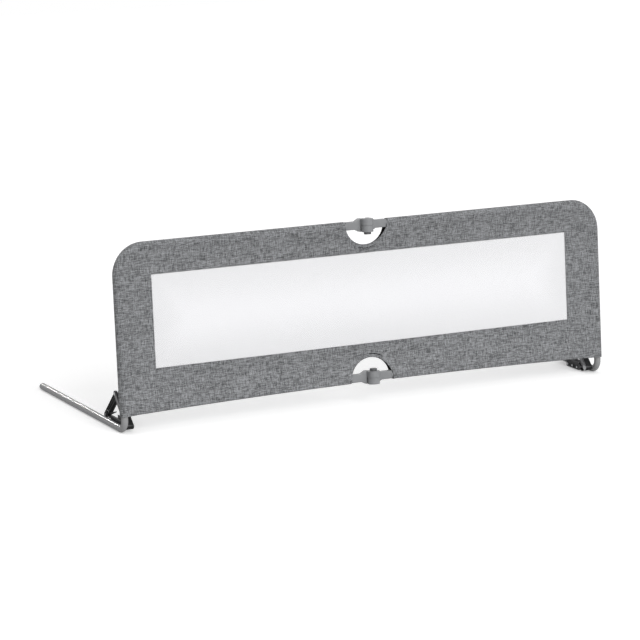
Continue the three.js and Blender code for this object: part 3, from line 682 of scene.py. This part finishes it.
def cloth_points(outline, window):
    """Places inside the cloth: an even grid, with closer rows beside the window, hems, seams and folds."""
    candidates = []
    for row in range(int(FLAT_TOP / GRID_STEP) + 1):
        for column in range(int(2 * FLAT_SIDE / GRID_STEP) + 1):
            stagger = 0.5 * (row % 2)
            candidates.append((-FLAT_SIDE + (column + stagger) * GRID_STEP, row * GRID_STEP))
    for margin in WINDOW_ROWS:
        candidates += window_outline(margin, WINDOW_ROW_STEP)
    count = int(2 * math.pi * MOON_RADIUS / MOON_ROW_STEP)
    for level in (COVER_TOP, EDGE_MIDDLE):
        for reach in MOON_ROWS:
            candidates += arc((0.0, level), MOON_RADIUS + reach, 0.0, 2 * math.pi, count)[:-1]
    corner = (CORNER_SIDE, CORNER_LEVEL)
    for inset in EDGE_ROWS:
        bend = arc(corner, FLAT_CORNER_RADIUS - inset, 0.0, math.pi / 2, CORNER_ROW_STEPS)
        for hand in (-1, 1):
            candidates += [(hand * x, v) for x, v in bend]
            candidates += [(hand * (FLAT_SIDE - inset), SIDE_ROW_START + ROW_STEP * k)
                for k in range(SIDE_ROW_COUNT)]
        candidates += [(-CORNER_SIDE + ROW_STEP * k, FLAT_TOP - inset)
            for k in range(int(2 * CORNER_SIDE / ROW_STEP))]
        for k in range(int(2 * AXIS_SIDE / ROW_STEP)):
            x = -AXIS_SIDE + ROW_STEP * k
            candidates.append((x, flat_bottom(x) + inset))
    edges = np.array(outline + window)
    kept = []
    taken = set()
    for point in candidates:
        cell = (round(point[0] / POINT_CELL), round(point[1] / POINT_CELL))
        if cell in taken:
            continue
        if in_window(*point, WINDOW_CLEARANCE) or not inside(point, outline):
            continue
        if np.abs(edges - np.array(point)).sum(1).min() < OUTLINE_CLEARANCE:
            continue
        taken.add(cell)
        kept.append(point)
    return kept


def flat_cover():
    """Triangles of one flat cover layer."""
    outline = flat_outline()
    window = window_outline()
    points = outline + window + cloth_points(outline, window)
    first = len(outline)
    edges = [(i, (i + 1) % first) for i in range(first)]
    edges += [(first + i, first + (i + 1) % len(window)) for i in range(len(window))]
    found = delaunay_2d_cdt([Vector(p) for p in points], edges, [], 0, SAME_FLAT_PLACE)
    flat = [tuple(p) for p in found[0]]
    faces = []
    for face in found[2]:
        x = sum(flat[i][0] for i in face) / len(face)
        v = sum(flat[i][1] for i in face) / len(face)
        if not in_window(x, v) and inside((x, v), outline):
            faces.append(tuple(face))
    return flat, faces


# Cover, net and stitching

NET_COLUMNS, NET_ROWS = 160, 34
NET_GIVE, NET_GIVE_SIDE, NET_GIVE_EDGE = 0.0014, 0.09, 0.06
NET_GIVE_SCALE, NET_GIVE_SEED = (5, 7), 3.0
STITCH_LENGTH, STITCH_GAP = 0.0024, 0.0010
WINDOW_STITCH_STEP = 0.01
HEM_STITCH_STEPS = 80
THREAD_RADIUS = 0.00032
THREAD_SIDES = 5
THREAD_SINK = 0.0001
# Places along one stitch, and how far it stands out of the cloth there
STITCH_SHARES = (0.0, 0.2, 0.5, 0.8, 1.0)
STITCH_LIFTS = (-0.0003, 0.00012, 0.0002, 0.00012, -0.0003)


def layer_point(place, front):
    """Place of a point of the front or back cover layer, given by its place on that layer."""
    x, depth, v = place
    return panel_point(x, depth if front else 2 * COVER_HALF - depth, v)


def cover_layer(name, flat, faces, front):
    places = [layer_point(cloth_place(x, v, front), front) for x, v in flat]
    ordered = [tuple(reversed(face)) for face in faces] if not front else faces
    piece = mesh_object(name, places, ordered, FINISHES["cover_fabric"])
    add_flat_map(piece, flat)
    # Inner faces take the near-black lining, painted shade of the sleeve's inside
    piece.data.materials.append(SHADED_LINING)
    cloth = piece.modifiers.new("thickness", "SOLIDIFY")
    cloth.thickness = CLOTH_THICKNESS
    cloth.offset = -1.0
    cloth.use_even_offset = False
    cloth.material_offset = 1
    return piece


def net_layer(name):
    """Net in the panel's middle, with an edge between the cover's layers and a slight give inside it."""
    flat, places, faces = [], [], []
    for row in range(NET_ROWS + 1):
        for column in range(NET_COLUMNS + 1):
            x = -WINDOW_SIDE - NET_SEAM + NET_FLAT[0] * column / NET_COLUMNS
            v = WINDOW_BOTTOM - NET_SEAM + NET_FLAT[1] * row / NET_ROWS
            inner_x = min(max((WINDOW_SIDE - abs(x)) / NET_GIVE_SIDE, 0.0), 1.0)
            inner_v = min(max(min(v - WINDOW_BOTTOM, WINDOW_TOP - v) / NET_GIVE_EDGE, 0.0), 1.0)
            give = NET_GIVE * inner_x * inner_v * waves(x, v, NET_GIVE_SCALE, NET_GIVE_SEED)
            flat.append((x, v))
            places.append(panel_point(x, COVER_HALF + give, v))
    for row in range(NET_ROWS):
        for column in range(NET_COLUMNS):
            a = row * (NET_COLUMNS + 1) + column
            faces.append((a, a + 1, a + NET_COLUMNS + 2, a + NET_COLUMNS + 1))
    piece = mesh_object(name, places, faces, FINISHES["window_net"])
    add_flat_map(piece, flat)
    return piece


def stitch_row(points, closed):
    """Start and end places of even stitches along a flat line."""
    line = points + points[:1] if closed else points
    stitches = []
    carried = 0.0
    start = None
    for a, b in zip(line, line[1:]):
        run = math.dist(a, b)
        place = 0.0
        while place < run:
            left = (STITCH_LENGTH if start is not None else STITCH_GAP) - carried
            if place + left > run:
                carried += run - place
                break
            place += left
            here = (a[0] + (b[0] - a[0]) * place / run, a[1] + (b[1] - a[1]) * place / run)
            if start is not None:
                stitches.append((start, here))
                start = None
            else:
                start = here
            carried = 0.0
    return stitches


def sewn_lines():
    """Stitches of the cover's visible seams, round the window and along both half-moons' hems."""
    hem = MOON_RADIUS + HEM_WIDTH
    rows = stitch_row(window_outline(WINDOW_SEAM, WINDOW_STITCH_STEP), True)
    for level, start in ((COVER_TOP, math.pi), (EDGE_MIDDLE, 0.0)):
        rows += stitch_row(arc((0.0, level), hem, start, math.pi, HEM_STITCH_STEPS), False)
    return rows


def stitching(name, stitches, front):
    """Sewn stitches as short round threads that dip into the cloth at both ends."""
    vertices, faces = [], []
    out = panel_point(0, -1 if front else 1, 0) - panel_point(0, 0, 0)
    for start, end in stitches:
        base = len(vertices)
        run = (end[0] - start[0], end[1] - start[1])
        along = panel_point(run[0], 0, run[1]) - panel_point(0, 0, 0)
        along.normalize()
        side = along.cross(out).normalized()
        for share, lift in zip(STITCH_SHARES, STITCH_LIFTS):
            place = cloth_place(start[0] + run[0] * share, start[1] + run[1] * share, front)
            centre = layer_point(place, front) + out * (lift - THREAD_SINK)
            for k in range(THREAD_SIDES):
                angle = 2 * math.pi * k / THREAD_SIDES
                vertices.append(centre + (out * math.cos(angle) + side * math.sin(angle)) * THREAD_RADIUS)
        for ring in range(len(STITCH_SHARES) - 1):
            for k in range(THREAD_SIDES):
                a = base + ring * THREAD_SIDES + k
                b = base + ring * THREAD_SIDES + (k + 1) % THREAD_SIDES
                faces.append((a, b, b + THREAD_SIDES, a + THREAD_SIDES))
        faces.append(tuple(base + k for k in reversed(range(THREAD_SIDES))))
        last = base + (len(STITCH_SHARES) - 1) * THREAD_SIDES
        faces.append(tuple(last + k for k in range(THREAD_SIDES)))
    return mesh_object(name, vertices, faces, HEM_THREAD)


flat, flat_faces = flat_cover()

for side_name, front in (("front", True), ("back", False)):
    cover = cover_layer(f"{side_name}_cover", flat, flat_faces, front)
    seams = stitching(f"{side_name}_stitching", sewn_lines(), front)
    for piece in (cover, seams):
        across_the_fold(piece)
    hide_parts("left_cover", "right_cover")

net = net_layer("window_net")
across_the_fold(net)
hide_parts("left_window_net", "right_window_net")


# Hard pieces

SAME_PLACE = 0.000002
FLAT_ANGLE = math.radians(1.0)
SHARP_ANGLE = math.radians(32)
ROUNDING_STEPS = 2


def rounded_copy(node, width):
    """Copy of a solid with its sharp edges rounded, as moulding, forming or plating leaves them."""
    source = frame["nodes"][node]
    mesh = source.data.copy()
    work = bmesh.new()
    work.from_mesh(mesh)
    bmesh.ops.remove_doubles(work, verts=work.verts, dist=SAME_PLACE)
    bmesh.ops.dissolve_limit(work, angle_limit=FLAT_ANGLE, verts=work.verts, edges=work.edges)
    for face in work.faces:
        face.smooth = True
    for edge in work.edges:
        turned = len(edge.link_faces) == 2 and edge.calc_face_angle(0.0) > SHARP_ANGLE
        edge.smooth = not turned
    work.to_mesh(mesh)
    work.free()
    mesh.materials.clear()
    mesh.materials.append(FINISHES[SLOTS[node]])
    piece = bpy.data.objects.new(f"{node}_finished", mesh)
    bpy.context.scene.collection.objects.link(piece)
    if width:
        bevel = piece.modifiers.new("rounded_edges", "BEVEL")
        bevel.width = width
        bevel.segments = ROUNDING_STEPS
        bevel.limit_method = "ANGLE"
        bevel.angle_limit = SHARP_ANGLE
        bevel.harden_normals = True
        bevel.use_clamp_overlap = True
    even = piece.modifiers.new("even_normals", "WEIGHTED_NORMAL")
    even.keep_sharp = True
    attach(piece, source["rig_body"])
    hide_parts(node)
    return piece


# Rounding of each kind of hard piece, found by its name
EDGE_WIDTHS = {
    "hinge_leaf": 0.0008, "hinge_pin": 0.0009, "arm_tube": 0.0003, "arm_cap": 0.0, "stay_rail": 0.0006,
    "rail_screw": 0.0004, "stay_axle": 0.0004, "front_link": 0.0006, "rear_link": 0.0006, "apex_pin": 0.0003,
    "stay_shoe": 0.0006, "shoe_pin": 0.0003, "floor_pad": 0.0005, "guide_bush": 0.0003, "frame_tube": 0.0002,
    "bottom_tube": 0.0002, "leaf_rivet": 0.0004, "stub_stop": 0.0004, "stay_spring": 0.0,
}
for node in frame["nodes"]:
    kinds = [kind for kind in EDGE_WIDTHS if kind in node]
    if kinds:
        rounded_copy(node, EDGE_WIDTHS[kinds[0]])


# Floor, light and camera

FLOOR_REACH = 9.0
FLOOR_WHITE = (0.9, 0.9, 0.9, 1)
FLOOR_GLOW = 0.3
FLOOR_PLAIN = (0.65, 0.65, 0.65, 1)
WORLD_LIGHT = 0.28


def camera_white(tree):
    """One for what the camera sees directly, in a polished surface or through a clear one."""
    path = tree.add("LightPath")
    seen = tree.math("MAXIMUM", path.outputs["Is Camera Ray"], path.outputs["Is Glossy Ray"])
    return tree.math("MAXIMUM", seen, path.outputs["Is Transmission Ray"])


def floor_surface():
    """White studio floor that keeps a soft part of the object's shadow."""
    tree = material_tree("studio_floor")
    bright = tree.add("AddShader")
    tree.feed(bright.inputs[0], tree.add("BsdfDiffuse", {"Color": FLOOR_WHITE}).outputs[0])
    tree.feed(bright.inputs[1], tree.add("Emission", {"Color": WHITE, "Strength": FLOOR_GLOW}).outputs[0])
    plain = tree.add("BsdfDiffuse", {"Color": FLOOR_PLAIN})
    return tree.finish(tree.mixed_shader(camera_white(tree), plain.outputs[0], bright.outputs[0]))


def studio_floor():
    corners = [(-FLOOR_REACH, -FLOOR_REACH, 0), (FLOOR_REACH, -FLOOR_REACH, 0),
        (FLOOR_REACH, FLOOR_REACH, 0), (-FLOOR_REACH, FLOOR_REACH, 0)]
    piece = mesh_object("studio_floor", corners, [(0, 1, 2, 3)], floor_surface(), smooth=False)


def studio_world():
    """Soft light from all round, seen as pure white."""
    tree = Tree(bpy.data.worlds.new("studio"), "OutputWorld")
    strength = tree.ranged(camera_white(tree), 0.0, 1.0, WORLD_LIGHT, 1.0)
    background = tree.add("Background", {"Color": WHITE, "Strength": strength})
    bpy.context.scene.world = tree.finish(background.outputs["Background"])


def wide_lamp(name, toward, spread, strength):
    """Even light from one side, as from a wide screen far away."""
    light = bpy.data.lights.new(name, "SUN")
    light.angle = math.radians(spread)
    light.energy = strength
    lamp = bpy.data.objects.new(name, light)
    bpy.context.scene.collection.objects.link(lamp)
    lamp.rotation_euler = Vector(toward).to_track_quat("Z", "Y").to_euler()
    return lamp


def photo_camera():
    forward = Vector((math.sin(CAMERA_YAW) * math.cos(CAMERA_PITCH),
        math.cos(CAMERA_YAW) * math.cos(CAMERA_PITCH), -math.sin(CAMERA_PITCH)))
    level = Vector((math.cos(CAMERA_YAW), -math.sin(CAMERA_YAW), 0))
    upright = level.cross(forward)
    right = math.cos(CAMERA_ROLL) * level + math.sin(CAMERA_ROLL) * upright
    up = math.cos(CAMERA_ROLL) * upright - math.sin(CAMERA_ROLL) * level
    turn = Matrix((right, up, -forward)).transposed()
    data = bpy.data.cameras.new("camera")
    data.lens = CAMERA_LENS
    data.sensor_width = CAMERA_SENSOR
    data.sensor_fit = "HORIZONTAL"
    data.clip_end = CAMERA_REACH
    camera = bpy.data.objects.new("camera", data)
    bpy.context.scene.collection.objects.link(camera)
    camera.matrix_world = Matrix.Translation(CAMERA_PLACE) @ turn.to_4x4()
    bpy.context.scene.camera = camera


studio_floor()
studio_world()
wide_lamp("key", (0.3, -2.8, 1.4), 45, 1.95)
wide_lamp("top", (-0.3, -0.7, 3.0), 70, 0.9)
wide_lamp("back_fill", (-0.6, 2.5, 1.5), 60, 0.5)
# A narrow lamp that only polished surfaces show, as the bright line along each arm
shine = wide_lamp("shine", (0.012, 0.893, 0.45), 3, 0.35)
shine.visible_diffuse = False
photo_camera()
bpy.context.scene.view_settings.view_transform = "Standard"
